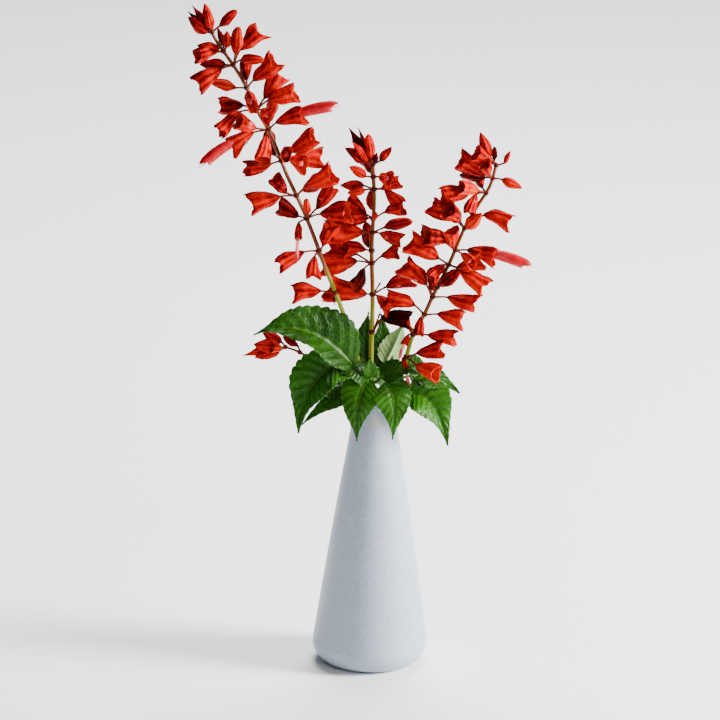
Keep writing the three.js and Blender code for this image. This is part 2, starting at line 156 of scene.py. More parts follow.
def tubeValues(rows, n, tone):
    values = np.zeros((rows, n, 4))
    values[..., 0] = tone
    values[..., 1] = np.linspace(0, 1, rows)[:, None]
    values[..., 2] = np.arange(n)[None] / n
    return values


def nodeGroup(name, inputs, outputs):
    group = bpy.data.node_groups.new(name, "ShaderNodeTree")
    for label, usual in inputs:
        socket = group.interface.new_socket(label, in_out="INPUT", socket_type="NodeSocketFloat")
        socket.default_value = usual
    for label in outputs:
        group.interface.new_socket(label, in_out="OUTPUT", socket_type="NodeSocketFloat")
    return group, group.nodes.new("NodeGroupInput"), group.nodes.new("NodeGroupOutput")


def link(tree, source, target):
    tree.links.new(source, target)


def feed(tree, socket, source):
    # a number or a colour is set on the socket, and an output is linked to it
    if isinstance(source, tuple):
        socket.default_value = (*source, 1)
    elif isinstance(source, (int, float)):
        socket.default_value = source
    else:
        link(tree, source, socket)


def math2(tree, operation, a, b=None, c=None, clamp=False):
    node = tree.nodes.new("ShaderNodeMath")
    node.operation = operation
    node.use_clamp = clamp
    for socket, source in zip(node.inputs, (a, b, c)):
        if source is not None:
            feed(tree, socket, source)
    return node.outputs[0]


def centred(tree, mask, amount):
    # a 0 to 1 mask made to swing evenly round zero
    return math2(tree, "MULTIPLY", math2(tree, "SUBTRACT", mask, 0.5), amount)


def fade(tree, source, low, high, interpolation="LINEAR"):
    # 1 up to low, falling to 0 at high
    node = tree.nodes.new("ShaderNodeMapRange")
    node.interpolation_type = interpolation
    for socket, setting in zip(node.inputs[:5], (source, low, high, 1.0, 0.0)):
        feed(tree, socket, setting)
    return node.outputs[0]


def mixColor(tree, factor, a, b, blend="MIX"):
    node = tree.nodes.new("ShaderNodeMix")
    node.data_type = "RGBA"
    node.blend_type = blend
    for socket, source in ((node.inputs[0], factor), (node.inputs[6], a), (node.inputs[7], b)):
        feed(tree, socket, source)
    return node.outputs[2]


def noise(tree, vector, scale, detail):
    node = tree.nodes.new("ShaderNodeTexNoise")
    node.inputs["Detail"].default_value = detail
    feed(tree, node.inputs["Scale"], scale)
    link(tree, vector, node.inputs["Vector"])
    return node.outputs[0]


def ramp(tree, factor, stops):
    node = tree.nodes.new("ShaderNodeValToRGB")
    while len(node.color_ramp.elements) < len(stops):
        node.color_ramp.elements.new(0.5)
    for element, (place, color) in zip(node.color_ramp.elements, stops):
        element.position = place
        element.color = (*color, 1)
    link(tree, factor, node.inputs[0])
    return node.outputs[0]


def value(tree, label):
    node = tree.nodes.new("ShaderNodeAttribute")
    node.attribute_name = label
    return node.outputs["Fac"]


def makeMottle():
    # soft blotches, and a finer grain, both 0 to 1
    group, into, out = nodeGroup(
        "softMottle", [("Blotch Scale", 60.0), ("Grain Scale", 900.0)], ["Blotch", "Grain"])
    where = group.nodes.new("ShaderNodeTexCoord").outputs["Object"]
    link(group, noise(group, where, into.outputs["Blotch Scale"], 4), out.inputs["Blotch"])
    link(group, noise(group, where, into.outputs["Grain Scale"], 2), out.inputs["Grain"])
    return group


def makeRibs():
    # lengthwise ridges round a flower or a stem, from its around value
    group, into, out = nodeGroup("lengthRibs", [("Count", 8.0), ("Waver", 0.3)], ["Ridge"])
    where = group.nodes.new("ShaderNodeTexCoord").outputs["Object"]
    waver = math2(group, "MULTIPLY", noise(group, where, 220.0, 2), into.outputs["Waver"])
    turn = math2(group, "MULTIPLY", value(group, "around"), into.outputs["Count"])
    turn = math2(group, "ADD", turn, waver)
    wave = math2(group, "COSINE", math2(group, "MULTIPLY", turn, 2 * math.pi))
    link(group, math2(group, "MULTIPLY_ADD", wave, 0.5, 0.5), out.inputs["Ridge"])
    return group


def makeNet():
    # the fine net between small cells, 1 on its lines
    group, into, out = nodeGroup("fineNet", [("Scale", 420.0), ("Line", 0.12)], ["Net"])
    cells = group.nodes.new("ShaderNodeTexVoronoi")
    cells.feature = "DISTANCE_TO_EDGE"
    link(group, group.nodes.new("ShaderNodeTexCoord").outputs["Object"], cells.inputs["Vector"])
    link(group, into.outputs["Scale"], cells.inputs["Scale"])
    net = fade(group, cells.outputs["Distance"], 0.0, into.outputs["Line"])
    link(group, net, out.inputs["Net"])
    return group


mottleGroup, ribGroup, netGroup = makeMottle(), makeRibs(), makeNet()


def startMaterial(name, roughness, coat=0.0, specular=0.5, tint=(1, 1, 1)):
    material = bpy.data.materials.new(name)
    material.use_nodes = True
    tree = material.node_tree
    shader = tree.nodes["Principled BSDF"]
    shader.inputs["Roughness"].default_value = roughness
    shader.inputs["Coat Weight"].default_value = coat
    shader.inputs["Specular IOR Level"].default_value = specular
    shader.inputs["Specular Tint"].default_value = (*tint, 1)
    return material, tree, shader


def placeGroup(tree, group, **settings):
    node = tree.nodes.new("ShaderNodeGroup")
    node.node_tree = group
    for label, setting in settings.items():
        node.inputs[label.replace("_", " ")].default_value = setting
    return node.outputs


def addBump(tree, shader, height, strength, distance):
    bump = tree.nodes.new("ShaderNodeBump")
    bump.inputs["Strength"].default_value = strength
    bump.inputs["Distance"].default_value = distance
    link(tree, height, bump.inputs["Height"])
    link(tree, bump.outputs[0], shader.inputs["Normal"])


def glowThrough(shader, weight, radius):
    # thin living tissue lets some light through
    shader.inputs["Subsurface Weight"].default_value = weight
    shader.inputs["Subsurface Radius"].default_value = radius
    shader.inputs["Subsurface Scale"].default_value = 0.003


def sepalMaterial():
    # calyces and buds: velvety, ribbed, from maroon through scarlet to orange red by tone
    material, tree, shader = startMaterial("scarletSepal", 0.5, specular=0.03, tint=(1, 0.15, 0.1))
    mottle = placeGroup(tree, mottleGroup, Blotch_Scale=170.0, Grain_Scale=900.0)
    ribs = placeGroup(tree, ribGroup, Count=8.0, Waver=0.35)
    tone = math2(tree, "ADD", value(tree, "tone"),
                 centred(tree, mottle["Blotch"], 1.0))
    tone = math2(tree, "ADD", tone,
                 centred(tree, mottle["Grain"], 0.3))
    tone = math2(tree, "ADD", tone,
                 centred(tree, ribs["Ridge"], 0.22), clamp=True)
    base = ramp(tree, tone, [(0.0, (0.012, 0.0, 0.0)), (0.25, (0.08, 0.0, 0.0)),
                             (0.5, (0.34, 0.001, 0.0)), (0.75, (0.56, 0.005, 0.0)),
                             (1.0, (0.58, 0.06, 0.012))])
    # darker where the stalk joins and along the tips' edges
    reach = value(tree, "reach")
    foot = ramp(tree, reach, [(0.0, (0.16, 0.05, 0.05)), (0.14, (0.75, 0.7, 0.7)),
                              (0.4, (1, 1, 1)), (0.9, (1, 1, 1))])
    base = mixColor(tree, 1.0, base, foot, "MULTIPLY")
    inside = math2(tree, "MULTIPLY", value(tree, "inside"), 0.6)
    inner = mixColor(tree, inside, base, (0.42, 0.018, 0.006))
    link(tree, inner, shader.inputs["Base Color"])
    height = math2(tree, "ADD", math2(tree, "MULTIPLY", ribs["Ridge"], 0.7),
                   math2(tree, "MULTIPLY", mottle["Grain"], 0.25))
    addBump(tree, shader, height, 0.8, 0.0009)
    glowThrough(shader, 0.1, (1.0, 0.02, 0.01))
    return material


def petalMaterial():
    # corolla tubes: smooth, thin, paler and pinker where light comes through
    material, tree, shader = startMaterial("petalTube", 0.34, specular=0.14, tint=(1, 0.5, 0.45))
    mottle = placeGroup(tree, mottleGroup, Blotch_Scale=200.0, Grain_Scale=1200.0)
    ribs = placeGroup(tree, ribGroup, Count=12.0, Waver=0.5)
    tone = math2(tree, "ADD", value(tree, "tone"),
                 centred(tree, mottle["Blotch"], 0.6), clamp=True)
    base = ramp(tree, tone, [(0.0, (0.2, 0.0, 0.003)), (0.4, (0.45, 0.004, 0.012)),
                             (0.75, (0.6, 0.07, 0.08)), (1.0, (0.75, 0.36, 0.33))])
    link(tree, base, shader.inputs["Base Color"])
    height = math2(tree, "ADD", math2(tree, "MULTIPLY", ribs["Ridge"], 0.3),
                   math2(tree, "MULTIPLY", mottle["Blotch"], 0.8))
    addBump(tree, shader, height, 0.4, 0.0005)
    glowThrough(shader, 0.2, (1.0, 0.1, 0.06))
    return material


def stalkMaterial():
    # flower stalks and the joints on the stem: dull red brown
    material, tree, shader = startMaterial("flowerStalk", 0.5, specular=0.3, tint=(1, 0.4, 0.2))
    mottle = placeGroup(tree, mottleGroup, Blotch_Scale=300.0, Grain_Scale=1500.0)
    tone = math2(tree, "ADD", value(tree, "tone"),
                 centred(tree, mottle["Blotch"], 0.7), clamp=True)
    base = ramp(tree, tone, [(0.0, (0.015, 0.001, 0.001)), (0.4, (0.09, 0.003, 0.003)),
                             (0.7, (0.17, 0.015, 0.006)), (1.0, (0.14, 0.16, 0.012))])
    link(tree, base, shader.inputs["Base Color"])
    addBump(tree, shader, mottle["Grain"], 0.3, 0.0003)
    return material


def stemMaterial():
    # yellow green near the leaves, flushed red brown up among the flowers
    material, tree, shader = startMaterial("squareStem", 0.42, specular=0.35, tint=(1, 0.7, 0.3))
    mottle = placeGroup(tree, mottleGroup, Blotch_Scale=90.0, Grain_Scale=1300.0)
    ribs = placeGroup(tree, ribGroup, Count=4.0, Waver=0.1)
    tone = math2(tree, "ADD", value(tree, "tone"),
                 centred(tree, mottle["Blotch"], 0.35), clamp=True)
    base = ramp(tree, tone, [(0.0, (0.2, 0.22, 0.01)), (0.3, (0.26, 0.17, 0.008)),
                             (0.55, (0.22, 0.045, 0.004)), (0.8, (0.12, 0.008, 0.002)),
                             (1.0, (0.05, 0.002, 0.001))])
    shade = math2(tree, "MULTIPLY_ADD", ribs["Ridge"], 0.3, 0.72)
    base = mixColor(tree, 1.0, base, shade, "MULTIPLY")
    link(tree, base, shader.inputs["Base Color"])
    addBump(tree, shader, mottle["Grain"], 0.25, 0.0003)
    return material


def leafMaterial(name, dark, light, vein, under):
    # tone: how young and pale the leaf is, with painted light and shade, lighter on lit leaves and
    # darker on shaded ones; around: 0 at the midrib, 1 at the margin; reach: foot to tip
    material, tree, shader = startMaterial(name, 0.36, specular=0.14, tint=(0.8, 1, 0.7))
    mottle = placeGroup(tree, mottleGroup, Blotch_Scale=70.0, Grain_Scale=1400.0)
    out, along = value(tree, "around"), value(tree, "reach")
    # side veins leave the midrib at a slant and curve towards the tip
    slant = math2(tree, "MULTIPLY", math2(tree, "POWER", out, 1.25), 0.2)
    phase = math2(tree, "MULTIPLY", math2(tree, "SUBTRACT", along, slant), 9.0)
    apart = math2(tree, "ABSOLUTE", math2(tree, "SUBTRACT", math2(tree, "FRACT", phase), 0.5))
    side = fade(tree, apart, 0.0, 0.1, "SMOOTHSTEP")
    rib = fade(tree, out, 0.015, 0.085, "SMOOTHSTEP")
    veins = math2(tree, "MAXIMUM", math2(tree, "MULTIPLY", side, 0.55), rib)
    net = placeGroup(tree, netGroup, Scale=420.0, Line=0.12)["Net"]
    # the leaf's lightness: its own paleness and blotches, with painted light and shade given per leaf
    freshAndPaintedLight = math2(tree, "ADD", value(tree, "tone"),
                  centred(tree, mottle["Blotch"], 0.9), clamp=True)
    face = mixColor(tree, freshAndPaintedLight, dark, light)
    face = mixColor(tree, math2(tree, "MULTIPLY", net, 0.25), face, vein)
    face = mixColor(tree, math2(tree, "MULTIPLY", veins, 0.4), face, vein)
    back = mixColor(tree, math2(tree, "MULTIPLY", mottle["Blotch"], 0.6), under, vein)
    paleVein = tuple(min(1, c * 1.5) for c in under)
    back = mixColor(tree, math2(tree, "MULTIPLY", veins, 0.7), back, paleVein)
    link(tree, mixColor(tree, value(tree, "inside"), face, back), shader.inputs["Base Color"])
    rough = math2(tree, "MULTIPLY_ADD", value(tree, "inside"), 0.25, 0.26)
    link(tree, math2(tree, "ADD", rough, math2(tree, "MULTIPLY", mottle["Grain"], 0.12)),
         shader.inputs["Roughness"])
    height = math2(tree, "SUBTRACT", math2(tree, "MULTIPLY", mottle["Grain"], 0.2),
                   math2(tree, "ADD", math2(tree, "MULTIPLY", veins, 0.9),
                         math2(tree, "MULTIPLY", net, 0.3)))
    addBump(tree, shader, height, 0.5, 0.0005)
    glowThrough(shader, 0.04, (0.3, 1.0, 0.05))
    return material


def glazeMaterial():
    # satin blue grey glaze with a fine broken grain and faint turning lines
    material, tree, shader = startMaterial("stonewareGlaze", 0.42, coat=0.15, specular=0.5)
    shader.inputs["Coat Roughness"].default_value = 0.3
    mottle = placeGroup(tree, mottleGroup, Blotch_Scale=26.0, Grain_Scale=1100.0)
    where = tree.nodes.new("ShaderNodeTexCoord").outputs["Object"]
    split = tree.nodes.new("ShaderNodeSeparateXYZ")
    link(tree, where, split.inputs[0])
    broken = placeGroup(tree, netGroup, Scale=620.0, Line=0.14)["Net"]
    bands = math2(tree, "SINE", math2(tree, "ADD", math2(tree, "MULTIPLY", split.outputs[2], 2100.0),
                                      math2(tree, "MULTIPLY", mottle["Blotch"], 5.0)))
    base = mixColor(tree, mottle["Blotch"], (0.2, 0.255, 0.32), (0.3, 0.355, 0.42))
    fleck = math2(tree, "MULTIPLY", math2(tree, "SUBTRACT", mottle["Grain"], 0.35), 2.2, clamp=True)
    base = mixColor(tree, fleck, base, (0.42, 0.48, 0.56))
    speck = math2(tree, "MULTIPLY", broken, mottle["Grain"])
    base = mixColor(tree, math2(tree, "MULTIPLY", speck, 0.5), base, (0.14, 0.18, 0.22))
    # painted shade: the glaze is mixed towards a darker grey over the lowest 12 mm, where the foot
    # curves under towards the floor
    foot = math2(tree, "MULTIPLY", fade(tree, split.outputs[2], 0.0, 0.012), 0.45)
    base = mixColor(tree, foot, base, (0.25, 0.29, 0.34))
    # a small ochre smudge below the rim, in front
    away = tree.nodes.new("ShaderNodeVectorMath")
    away.operation = "DISTANCE"
    away.inputs[1].default_value = (0.001, -0.014, 0.168)
    link(tree, where, away.inputs[0])
    smudge = fade(tree, away.outputs["Value"], 0.001, 0.005)
    smudged = math2(tree, "MULTIPLY", smudge, mottle["Blotch"])
    base = mixColor(tree, smudged, base, (0.5, 0.42, 0.2))
    link(tree, base, shader.inputs["Base Color"])
    link(tree, math2(tree, "ADD", math2(tree, "MULTIPLY", mottle["Grain"], 0.25), 0.3),
         shader.inputs["Roughness"])
    worn = math2(tree, "SUBTRACT", mottle["Grain"], math2(tree, "MULTIPLY", broken, 0.35))
    height = math2(tree, "ADD", math2(tree, "MULTIPLY", bands, 0.05), worn)
    addBump(tree, shader, height, 0.3, 0.0004)
    return material


sepal, petal, stalk = sepalMaterial(), petalMaterial(), stalkMaterial()
squareStem, glaze = stemMaterial(), glazeMaterial()
leafFace = leafMaterial("leafFace", (0.0012, 0.011, 0.0003), (0.02, 0.105, 0.001),
                        (0.05, 0.14, 0.006), (0.12, 0.22, 0.06))
leafYoung = leafMaterial("leafYoung", (0.02, 0.08, 0.008), (0.09, 0.2, 0.03),
                         (0.17, 0.3, 0.08), (0.2, 0.3, 0.12))
print("materials ready")


vaseSpec = {"foot": 24, "fillet": 13.6, "rim": 12.3, "wall": 3, "floor": 4, "bulge": 0.6,
            "around": 144, "turningLine": 0.05}


def makeVase(spec):
    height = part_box("vase")[1][2] / mm
    lip = spec["wall"] / 2
    top = height - lip
    lean = math.atan2(spec["foot"] + spec["fillet"] - spec["rim"], height - spec["fillet"])
    start = np.array([spec["foot"] + spec["fillet"] * math.cos(lean),
                      spec["fillet"] + spec["fillet"] * math.sin(lean)])

    def outer(z):
        t = (z - start[1]) / (top - start[1])
        turning = spec["turningLine"] * math.sin(z * 2.1) * math.exp(-z / 60)
        bulge = spec["bulge"] * math.sin(math.pi * t)
        return start[0] + (spec["rim"] - start[0]) * t + bulge + turning

    outline = [(0.01, 0), (spec["foot"] * 0.5, 0), (spec["foot"], 0)]
    for a in np.linspace(-math.pi / 2, lean, 14)[1:]:
        outline.append((spec["foot"] + spec["fillet"] * math.cos(a),
                        spec["fillet"] + spec["fillet"] * math.sin(a)))
    outline += [(outer(z), z) for z in np.linspace(start[1], top, 110)[1:]]
    outline += [(spec["rim"] - lip + lip * math.cos(a), top + lip * math.sin(a))
                for a in np.linspace(0, math.pi, 12)[1:]]
    innerFillet = 10
    innerFoot = spec["floor"] + innerFillet
    outline += [(outer(z) - spec["wall"], z) for z in np.linspace(top, innerFoot + 4, 30)[1:]]
    floorRadius = outline[-1][0] - innerFillet
    outline += [(floorRadius + innerFillet * math.cos(a), innerFoot - innerFillet * math.sin(a))
                for a in np.linspace(0, math.pi / 2, 8)[1:]]
    outline += [(floorRadius * 0.5, spec["floor"]), (0.01, spec["floor"])]
    turns = fullTurn(spec["around"])
    rings = np.array([[(r * math.cos(t), r * math.sin(t), z) for t in turns] for r, z in outline])
    shape = Shape()
    shape.rings(rings, 0, tubeValues(len(outline), spec["around"], 0.5))
    shape.build("slim_vase", [glaze], "vase")


makeVase(vaseSpec)
print("vase made")


# radii run from the cut end to the tip; green, red: heights where the green fades and the red begins

stems = {
    "left": {
        "route": [(-20, 3, 4.6), (-13, 2.5, 90), (-6, 1.5, 172), (-6.5, 1, 184), (-12, 0, 208),
                  (-21.8, -2, 239), (-34, -3, 270), (-47, -4, 304), (-59, -5, 330), (-70, -5, 357),
                  (-79.5, -5, 374), (-87, -5, 390), (-95, -5, 403), (-105.5, -5, 418), (-109, -5, 425)],
        "radii": (1.8, 1.0), "green": 256, "red": 280, "flush": 0.78},
    "centre": {
        "route": [(-3, 19, 4.6), (-2, 13, 90), (-1, 5.6, 172), (-1, 5.5, 184), (-2.9, 6, 205),
                  (-2.7, 8, 244), (-4, 9, 280), (-3, 10, 310), (-4.5, 10, 337)],
        "radii": (1.9, 1.2), "green": 232, "red": 262, "flush": 0.66},
    "right": {
        "route": [(20, 2, 4.6), (14, 2, 90), (6.2, 1.5, 170), (7, 1, 182), (13, 0, 195),
                  (18.6, -1, 205), (24, -2, 225), (31, -3, 239), (36, -3, 251), (46.5, -4, 274.5),
                  (55, -4, 296.5), (64, -4, 313.5), (71, -4, 326), (75, -4, 341)],
        "radii": (1.8, 1.0), "green": 222, "red": 250, "flush": 0.68},
    "side_shoot": {
        "route": [(-13, -2.6, 203), (-26, -7, 205), (-40, -8, 208), (-50, -8, 213.5), (-60, -8, 217)],
        "radii": (1.0, 0.7), "green": 150, "red": 215, "flush": 0.85},
}


def makeStem(name, spec, around=16):
    path = catmullRom(spec["route"], 16)
    tangents, normals, sides = turnFrames(path)
    steps = np.linalg.norm(np.diff(path, axis=0), axis=1)
    share = np.concatenate([[0], np.cumsum(steps)]) / steps.sum()
    radius = spec["radii"][0] + (spec["radii"][1] - spec["radii"][0]) * share
    spec["path"], spec["along"], spec["thick"] = path, tangents, radius
    squared = 1 + 0.1 * np.cos(4 * fullTurn(around))       # four-sided with round corners
    across = circles(normals, sides, around) * (radius[:, None] * squared[None])[..., None]
    tone = smooth(path[:, 2], spec["green"], spec["red"]) * spec["flush"]
    values = tubeValues(len(path), around, tone[:, None])
    shape = Shape()
    shape.rings(path[:, None] + across, 0, values)
    shape.build(f"{name}_spike_stem", [squareStem], f"{name}_stem")


for name, spec in stems.items():
    makeStem(name, spec)


def stemAt(spec, height):
    i = int(np.argmin(np.abs(spec["path"][:, 2] - height)))
    return spec["path"][i], spec["along"][i], spec["thick"][i]


print("stems made")


calyxSpec = {"around": 32, "along": 17, "wide": 0.84, "tall": 1.1, "skin": 0.3,
             "profile": [(0, 0.045), (0.05, 0.08), (0.15, 0.138), (0.35, 0.205), (0.6, 0.245),
                         (0.85, 0.25), (1, 0.22)]}
budSpec = {"around": 24, "along": 16}
tubeSpec = {"around": 24, "along": 22, "skin": 0.25, "droop": 0.08,
            "profile": [(0, 1.6), (0.3, 2.8), (0.55, 3.6), (0.75, 3.9), (0.9, 3.3), (0.97, 2.2),
                        (1, 1.2)]}     # radius in mm on a tube 38 long


def bodyFrame(direction, outward, roll):
    # the upper lip looks up, or away from the stem on upright flowers
    up = np.array([0, 0, 1.0])
    if abs(direction[2]) > 0.85:
        up = -outward if direction[2] > 0 else outward
    lift = square(up, direction)
    side = np.cross(direction, lift)
    c, s = math.cos(roll), math.sin(roll)
    return c * lift + s * side, np.cross(direction, c * lift + s * side)


def shellRings(outerPoints, innerPoints):
    # out along the outside, over the edge, back down the inside
    return np.vstack([outerPoints, innerPoints[::-1]])


def crumple(s, turns, dice, size):
    # a few slow waves over the body, different on every flower
    total = 0
    for k in (1, 2, 3):
        turnPhase, runPhase = dice.uniform(0, 6.28), dice.uniform(0, 6.28)
        waves = np.sin(dice.uniform(3, 8) * s + runPhase)
        total = total + np.sin(k * turns[None] + turnPhase) * waves / k
    return size * total * smooth(s, 0.05, 0.35)


def addCalyx(shape, base, direction, outward, length, tone, dice, gape=1.0):
    spec = calyxSpec
    lift, side = bodyFrame(direction, outward, dice.uniform(-0.45, 0.45))
    turns = fullTurn(spec["around"])
    fold = np.abs((turns + math.pi) % (2 * math.pi) - math.pi)        # 0 on top, pi underneath
    upper = 0.22 * np.clip(1 - fold / 1.5, 0, 1)**0.85
    # the lower lip ends in two teeth, a little to each side of the middle
    lower = 0.19 * np.clip(1 - np.abs(math.pi - fold - 0.42) / 0.85, 0, 1)**0.9
    edge = 0.82 + upper * dice.uniform(0.95, 1.3) + lower * dice.uniform(0.7, 1.15)
    for k, size in ((5, 0.018), (8, 0.014), (13, 0.009)):      # uneven rim
        edge = edge + size * np.sin(k * turns + dice.uniform(0, 6.28))
    v = np.linspace(0, 1, spec["along"])[:, None]
    s = v * edge[None]
    opening = np.clip((s - 0.45) / 0.55, 0, 1)**1.7 * gape
    bend = dice.uniform(-0.16, 0.06)
    sway = dice.uniform(-0.12, 0.12)
    ripple = 1 + 0.055 * np.cos(8 * turns)[None] * smooth(s, 0.05, 0.25) * (1 - 0.6 * smooth(s, 0.6, 1))
    lumps = crumple(s, turns, dice, 0.04 * length)

    def surface(inset):
        r = np.interp(s, *zip(*spec["profile"])) * length * ripple + lumps - inset
        r = np.maximum(r, 0.25)
        x = r * spec["wide"] * np.sin(turns)[None] * (1 + 0.1 * opening) + length * sway * s**2
        y = r * spec["tall"] * np.cos(turns)[None]
        y = y + length * 0.11 * opening * np.sign(np.cos(turns))[None] * np.abs(np.cos(turns))[None]**0.7
        y = y + length * bend * s**2
        z = s * length - 0.06 * opening * length * np.abs(np.cos(turns))[None]
        return base + x[..., None] * side + y[..., None] * lift + z[..., None] * direction

    outside, inside = surface(0), surface(spec["skin"])[2:]
    rows = shellRings(outside, inside)
    values = np.zeros((*rows.shape[:2], 4))
    reach = np.vstack([s, s[2:][::-1]])
    # the belly is paler than the back, and lumps catch the light
    pale = 0.12 * (0.5 - reach) - 0.06 * np.cos(turns)[None]
    values[..., 0] = tone + pale
    values[..., 1] = reach
    values[..., 2] = (turns / (2 * math.pi))[None]
    values[len(outside):, :, 3] = 1
    shape.rings(rows, 0, values)
    # the young petals folded in the throat
    addThroat(shape, base + direction * length * 0.3 + lift * length * bend * 0.3, direction, lift, side,
              length * 0.46, tone, dice)


def addThroat(shape, base, direction, lift, side, length, tone, dice, around=12, rows=8):
    turns = fullTurn(around)
    v = np.linspace(0, 1, rows)[:, None]
    folds = 1 + 0.18 * np.cos(3 * turns + dice.uniform(0, 6))[None]
    r = length * 0.36 * np.sqrt(np.clip(1 - v**3, 0, 1)) * folds
    x, y = 0.8 * r * np.sin(turns)[None], r * np.cos(turns)[None]
    z = v * length * np.ones_like(turns)[None]
    rings = base + x[..., None] * side + y[..., None] * lift + z[..., None] * direction
    shape.rings(rings, 1, tubeValues(rows, around, min(0.75, tone + dice.uniform(-0.1, 0.3))))


def addBud(shape, base, direction, outward, length, tone, dice, thick, flat=0.85, tail=0.0,
           blunt=0.0):
    spec = budSpec
    lift, side = bodyFrame(direction, outward, dice.uniform(-0.5, 0.5))
    turns = fullTurn(spec["around"])
    v = np.linspace(0, 1, spec["along"])[:, None]
    body = np.sin(np.pi * np.clip(v, 0, 1)**0.74)**0.82
    full = np.minimum(1, v / 0.35)**0.8 * np.sqrt(np.clip(1 - v**6, 0, 1)) * 0.88
    body = body * (1 - blunt) + full * blunt
    body = body * (1 - tail * smooth(v, 0.45, 0.9)) + 0.05 * (1 - v)
    seam = 1 - 0.16 * np.exp(-((np.cos(turns)[None]) / 0.16)**2) * smooth(v, 0.35, 0.8)
    r = body * thick * length * seam * (1 + 0.07 * np.cos(8 * turns)[None] * smooth(v, 0.02, 0.3))
    r = r + body * crumple(v, turns, dice, 0.022 * length)
    bend = dice.uniform(-0.14, 0.1)
    x = r * flat * np.sin(turns)[None] + length * dice.uniform(-0.07, 0.07) * v**2
    y = r * np.cos(turns)[None] + length * bend * v**2
    z = v * length * np.ones_like(turns)[None]
    rows = base + x[..., None] * side + y[..., None] * lift + z[..., None] * direction
    values = tubeValues(spec["along"], spec["around"], tone)
    shape.rings(rows, 0, values)


def addTube(shape, base, direction, outward, length, tone, dice, limp=0.0):
    # a corolla: narrow tube widening to a hooded upper lip, over a short flared lower lip
    spec = tubeSpec
    lift, side = bodyFrame(direction, outward, dice.uniform(-0.2, 0.2))
    turns = fullTurn(spec["around"])
    top = np.cos(turns)[None]
    edge = 0.86 + 0.14 * smooth(top, -0.5, 0.6)
    v = np.linspace(0, 1, spec["along"])[:, None]
    s = v * edge
    last = smooth(s, 0.76, 1.0)
    lumps = crumple(s, turns, dice, 0.22 + 0.3 * limp)

    def surface(inset):
        r = np.interp(s, *zip(*spec["profile"])) * (length / 38)
        r = np.maximum(r * (1 - 0.45 * limp) + lumps - inset, 0.25)
        x = r * 0.78 * np.sin(turns)[None] * (1 + 0.3 * last * smooth(-top, 0.0, 0.8))
        y = r * top - 1.2 * last * smooth(-top, 0.2, 1.0) + 0.7 * last
        y = y - 0.03 * length * s**2 * (1 + 2 * limp) + 0.05 * length * np.sin(math.pi * s)
        y = y + limp * 0.5 * np.sin(9 * s + 2 * turns[None])
        z = s * length
        return base + x[..., None] * side + y[..., None] * lift + z[..., None] * direction

    outside, inside = surface(0), surface(spec["skin"])[4:]
    rows = shellRings(outside, inside)
    values = np.zeros((*rows.shape[:2], 4))
    reach = np.vstack([s, s[4:][::-1]])
    lower = np.vstack([0 * s - top, (0 * s - top)[4:][::-1]])
    values[..., 0] = tone + 0.25 * lower * smooth(reach, 0.5, 0.9) - 0.25 * smooth(reach, 0.85, 1)
    values[..., 1] = reach
    values[..., 2] = (turns / (2 * math.pi))[None]
    values[len(outside):, :, 3] = 1
    shape.rings(rows, 1, values)
    # the style and two stamens, just showing under the hood
    for off, more in () if limp else ((0.0, 1.05), (0.7, 0.97), (-0.7, 0.96)):
        start = base + direction * length * 0.6 + side * off * 0.5
        tip = base + direction * length * more + side * off - lift * 0.03 * length
        addRod(shape, np.linspace(start, tip, 6), (0.28, 0.22), 1, 0.85, 6)


def addRod(shape, path, radii, finish, tone, around=8, ribbed=True):
    _, normals, sides = turnFrames(path)
    radius = np.interp(np.linspace(0, 1, len(path)), np.linspace(0, 1, len(radii)), radii)
    values = tubeValues(len(path), around, tone)
    values[..., 2] *= ribbed
    rings = path[:, None] + circles(normals, sides, around) * radius[:, None, None]
    shape.rings(rings, finish, values)


def addJoint(shape, centre, along, radius, tone, dice):
    # the swollen, scarred ring where a whorl leaves the stem
    around, rows = 20, 9
    lift = square(np.array([0, -1, 0.0]), along)
    side = np.cross(along, lift)
    turns = fullTurn(around)
    v = np.linspace(-1, 1, rows)[:, None]
    lumps = 1 + 0.16 * np.sin(2 * turns + dice.uniform(0, 6))[None] + 0.1 * np.sin(5 * turns)[None]
    r = radius * 1.04 + 0.75 * np.maximum(1 - v**2, 0)**0.5 * lumps
    rise = v * 1.5 + 0.2 * np.sin(2 * turns)[None]
    x, y = r * np.cos(turns)[None], r * np.sin(turns)[None]
    rings = centre + x[..., None] * lift + y[..., None] * side + rise[..., None] * along
    shape.rings(rings, 2, tubeValues(rows, around, tone))


